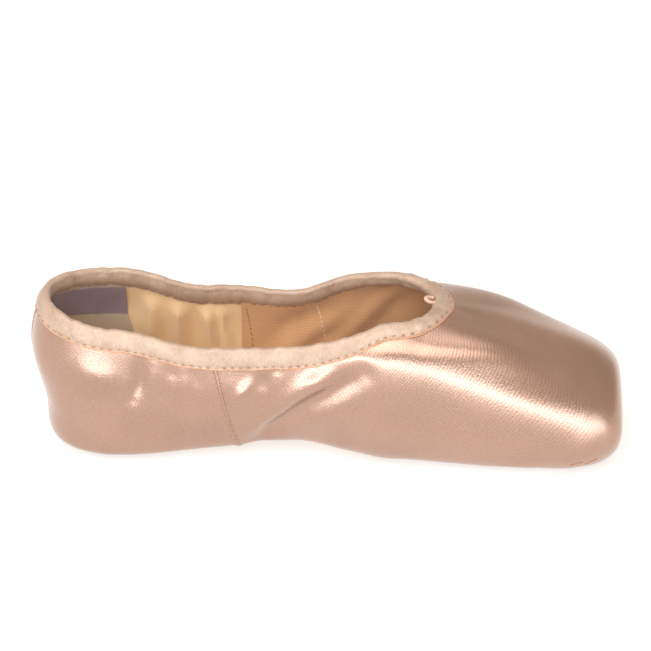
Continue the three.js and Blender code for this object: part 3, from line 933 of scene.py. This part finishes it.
def stitch_row(name, places, towards, outwards, length, width, material, slot):
    """Copies of one stitch at places, drawn out towards a direction and lying on the cloth."""
    bpy.ops.object.select_all(action="DESELECT")
    bpy.ops.mesh.primitive_uv_sphere_add(segments=8, ring_count=6, radius=0.5)
    first = bpy.context.object
    copies = []
    for place, along, out in zip(places, towards, outwards):
        stitch = first.copy()
        stitch.data = first.data.copy()
        bpy.context.collection.objects.link(stitch)
        x_axis = Vector(along).normalized()
        z_axis = Vector(out).normalized()
        y_axis = z_axis.cross(x_axis).normalized()
        z_axis = x_axis.cross(y_axis)
        height = width * THREAD_FLATNESS
        turn = [[x_axis[k] * length, y_axis[k] * width, z_axis[k] * height, place[k]] for k in range(3)]
        stitch.matrix_world = Matrix([[v * MM for v in row] for row in turn] + [[0, 0, 0, 1]])
        copies.append(stitch)
    bpy.data.objects.remove(first)
    for stitch in copies:
        stitch.select_set(True)
    bpy.context.view_layer.objects.active = copies[0]
    bpy.ops.object.transform_apply(location=True, rotation=True, scale=True)
    bpy.ops.object.join()
    row = bpy.context.object
    row.name = name
    row.data.name = name
    bpy.ops.object.origin_set(type="ORIGIN_CURSOR")
    finish_piece(row, material, angle=80)


def row_on_skin(round_s, level, proud, depth_share):
    """Places, directions and normals of a row of stitches that runs along the skin."""
    places = skin(round_s, level, proud, depth_share)
    towards = np.gradient(places, axis=0)
    outwards = normals(round_s, level)
    return places, towards, outwards


collar_s = collar_places(1.5, float(COLLAR_MM[-1]) - 1.5, BINDING_STITCH_STEP)
stitch_level = level_below(collar_s, binding_width(collar_s) - STITCH_INSET)
stitch_stand = BINDING_STAND + BINDING_STITCH_LIFT
outer_row = row_on_skin(collar_s, stitch_level, stitch_stand, 0.0)
stitch_row("binding_stitches", *outer_row, BINDING_STITCH, THREAD, brown_thread, "binding")
inner_row = row_on_skin(collar_s, stitch_level, -stitch_stand, 1.0)
stitch_row("binding_inner_stitches", *inner_row, BINDING_STITCH, THREAD, brown_thread, "binding")

# %% [markdown]
# ## Painted shadows in the tucks at the corners of the toe
# Where the satin is drawn under the platform's corners, the last pleats end in short tucks. The shade in
# each tuck is painted: one long dark stitch of brown thread, let a little into the skin, stands for it.

# %% Painted shadows in the toe tucks
TUCKS = ((2.437, 1.33, 2.462, 1.5), (2.476, 1.33, 2.5, 1.52))  # round_s and level at both ends
TUCK_SHADOW_LENGTH, TUCK_SHADOW_WIDTH = 5.6, 1.0
TUCK_SHADOW_SINK = 0.05

for side, word in SIDES:
    tuck_s = np.array([row[0::2] for row in TUCKS])
    tuck_level = np.array([row[1::2] for row in TUCKS])
    if side > 0:
        tuck_s = 6 - tuck_s
    ends = skin(tuck_s, tuck_level)
    middle_s, middle_level = tuck_s.mean(1), tuck_level.mean(1)
    middles = skin(middle_s, middle_level, -TUCK_SHADOW_SINK)
    tuck_shadow_row = (middles, ends[:, 1] - ends[:, 0], normals(middle_s, middle_level))
    # brown_thread here is painted shade inside the tucks, not sewing thread
    stitch_row(f"{word}_toe_tuck_shadows", *tuck_shadow_row, TUCK_SHADOW_LENGTH, TUCK_SHADOW_WIDTH, brown_thread, "satin")

# %% [markdown]
# ## Side and back seams
# The satin is cut in a front and two quarters, joined by a seam on each side and one at the back. The
# folded edge stands a little proud as a narrow ridge. The side seams have a row of stitches on each side
# of the ridge.

# %% Seams
SIDE_SEAM_TOP_X, SIDE_SEAM_FOOT_X = -44.0, -33.0
SEAM_FOOT = 0.5  # level of a seam's lower end
SEAM_LAP = 0.5  # mm of a seam's upper end under the binding
SIDE_RIDGE, BACK_RIDGE, RIDGE_HEIGHT = 1.1, 1.8, 0.5
RIDGE_SINK = 0.12  # mm of the ridge's edges in the satin
RIDGE_CLOTH = 0.3
SEAM_STITCH, SEAM_STITCH_SHIFT, SEAM_STITCH_PROUD = 1.3, 1.2, 0.05
BACK_RUN = 40.0  # mm of cloth for one step of round_s at the back


def seam_level(round_s, share):
    """Level up a seam, from its foot at 0 to the binding at 1."""
    return SEAM_FOOT + (level_below(round_s, BINDING_WIDTH - SEAM_LAP) - SEAM_FOOT) * share


def side_seam_line(share, side, shift=0.0):
    """round_s and level up a side seam, shifted along the shoe by some millimetres."""
    x = SIDE_SEAM_FOOT_X + (SIDE_SEAM_TOP_X - SIDE_SEAM_FOOT_X) * share**0.8 + shift
    round_s = s_at_x(x, side)
    return round_s, seam_level(round_s, share)


def back_seam_line(share, shift):
    """round_s and level up the back seam."""
    round_s = shift / BACK_RUN
    return round_s, seam_level(round_s, share)


def seam_ridge(name, line, width):
    """A low round ridge along a seam. line(share, shift) gives round_s and level."""

    def place(a, b):
        round_s, level = line(a, (0.5 - b) * width)
        rise = RIDGE_HEIGHT * np.sqrt(np.clip(1 - (2 * b - 1) ** 2, 0, 1))
        return skin(round_s, level, rise - RIDGE_SINK)

    ridge = cloth_grid(name, 80, 6, place)
    apply_modifier(ridge, "SOLIDIFY", thickness=RIDGE_CLOTH * MM, offset=0)
    finish_piece(ridge, satin)


for side, word in SIDES:
    seam_ridge(f"{word}_side_seam", lambda t, d, side=side: side_seam_line(t, side, d), SIDE_RIDGE)
    for shift, place_word in ((-SEAM_STITCH_SHIFT, "back"), (SEAM_STITCH_SHIFT, "front")):
        seam_line = side_seam_line(np.linspace(0.04, 0.97, 19), side, shift)
        seam_row = row_on_skin(*seam_line, SEAM_STITCH_PROUD, 0.0)
        name = f"{word}_seam_stitches_{place_word}"
        stitch_row(name, *seam_row, SEAM_STITCH, THREAD, brown_thread, "satin")

seam_ridge("back_seam", back_seam_line, BACK_RIDGE)

# %% Lining seam stitches
LINING_ROWS = (
    # name, x at the top, lean forwards at the foot, thread
    ("join", LINING_SEAM_X + 2.0, 4.0, brown_thread),
    ("stay", -5.0, 6.0, pale_thread),
)
LINING_ROW_FOOT = 1.5  # level
LINING_ROW_INSET = 1.2
LINING_STITCH = 1.8

for side, word in SIDES:
    for name, top_x, lean, thread in LINING_ROWS:
        share = np.linspace(0.1, 0.95, 13)
        row_s = s_at_x(top_x + lean * (1 - share), side)
        row_top = level_below(row_s, BINDING_WIDTH + 1)
        row_level = LINING_ROW_FOOT + (row_top - LINING_ROW_FOOT) * share
        lining_row = row_on_skin(row_s, row_level, -LINING_ROW_INSET, 1.0)
        stitch_row(f"{word}_lining_stitches_{name}", *lining_row, LINING_STITCH, THREAD, thread, "lining")

# %% [markdown]
# ## Label
# A plain woven patch is sewn to the heel lining beside the back seam. It stays bare.

# %% Label
LABEL_FROM, LABEL_TO = 0.25, 1.0  # round_s from the back seam, on the left side
LABEL_FOOT = 3.3  # level of its lower edge
LABEL_GAP = 0.4  # mm below the binding
LABEL_INSET = 1.25
LABEL_CLOTH = 0.35


def label_place(a, b):
    """A patch from the back seam's left side forwards, up to just below the binding."""
    round_s = 6 - (LABEL_FROM + (LABEL_TO - LABEL_FROM) * (1 - a))
    top = level_below(round_s, BINDING_WIDTH + LABEL_GAP)
    return skin(round_s, LABEL_FOOT + (top - LABEL_FOOT) * b, -LABEL_INSET, 1.0)


label = cloth_grid("heel_label_patch", 40, 20, label_place)
apply_modifier(label, "SOLIDIFY", thickness=LABEL_CLOTH * MM, offset=0)
finish_piece(label, label_tape, "heel_label")

# %% [markdown]
# ## Sole and insole
# The outsole is a thin leather paddle, narrow under the arch. A grid is drawn out to its outline, given
# its thickness and rounded along the edge. The insole is the same outline, a little smaller, inside the
# shoe.

# %% Sole and insole
SOLE_LAP, SOLE_RISE, SOLE_THICKNESS = 2.5, -0.3, 1.6
INSOLE_LAP, INSOLE_RISE, INSOLE_THICKNESS = 3.0, 4.58, 1.5
SOLE_EDGE = 0.5  # rounding along the edges


def sole_sheet(name, lap, rise, thickness, material, node):
    """A sheet that laps the turned-under edge, its upper face at a rise above that edge."""

    def place(a, b):
        half_s = np.interp(a, [0, 0.14, 0.6, 1], [0, 1, 2, 3])
        axis_x, along, across, out, up = sections(half_s)
        reach = out[0] + lap
        return np.stack([axis_x + along * reach, (2 * b - 1) * across * reach, up[0] + rise], axis=1)

    sheet = cloth_grid(name, 150, 14, place)
    close_seams(sheet)
    apply_modifier(sheet, "SOLIDIFY", thickness=thickness * MM, offset=-1)
    rounding = {"width": SOLE_EDGE * MM, "segments": 3}
    apply_modifier(sheet, "BEVEL", limit_method="ANGLE", angle_limit=math.radians(50), **rounding)
    finish_piece(sheet, material, node, angle=35)


sole_sheet("leather_outsole", SOLE_LAP, SOLE_RISE, SOLE_THICKNESS, leather, "outsole")
sole_sheet("cotton_insole", INSOLE_LAP, INSOLE_RISE, INSOLE_THICKNESS, cream_drill, "insole")

# %% [markdown]
# ## Drawstring loop
# The cord in the binding comes out at the front of the opening as a small loop. A curve with a round
# bevel, made into a mesh, gives the cord.

# %% Drawstring loop
CORD_RADIUS = 0.8
LOOP_POINTS = (
    # back from the front of the collar, left, up
    (1.9, -1.5, 0),
    (3.5, -2.2, 0.6),
    (5.3, -1.4, 1.1),
    (5.8, 0.4, 1.1),
    (4.5, 1.8, 0.7),
    (2.5, 1.7, 0.1),
)

loop_seat = smooth_last(np.array(3.0), np.array(5.0))
bpy.ops.object.select_all(action="DESELECT")
bpy.ops.curve.primitive_nurbs_path_add()
cord = bpy.context.object
cord.name = "drawstring_cord"
spline = cord.data.splines[0]
spline.points.add(len(LOOP_POINTS) - len(spline.points))
for point, (back, left, up) in zip(spline.points, LOOP_POINTS):
    point.co = ((loop_seat[0] - back) * MM, left * MM, (loop_seat[2] + up) * MM, 1)
spline.order_u = 3
spline.use_endpoint_u = True
cord.data.bevel_depth = CORD_RADIUS * MM
cord.data.bevel_resolution = 3
cord.data.use_fill_caps = True
bpy.ops.object.convert(target="MESH")
cord = bpy.context.object
finish_piece(cord, cord_cotton, "drawstring_loop")
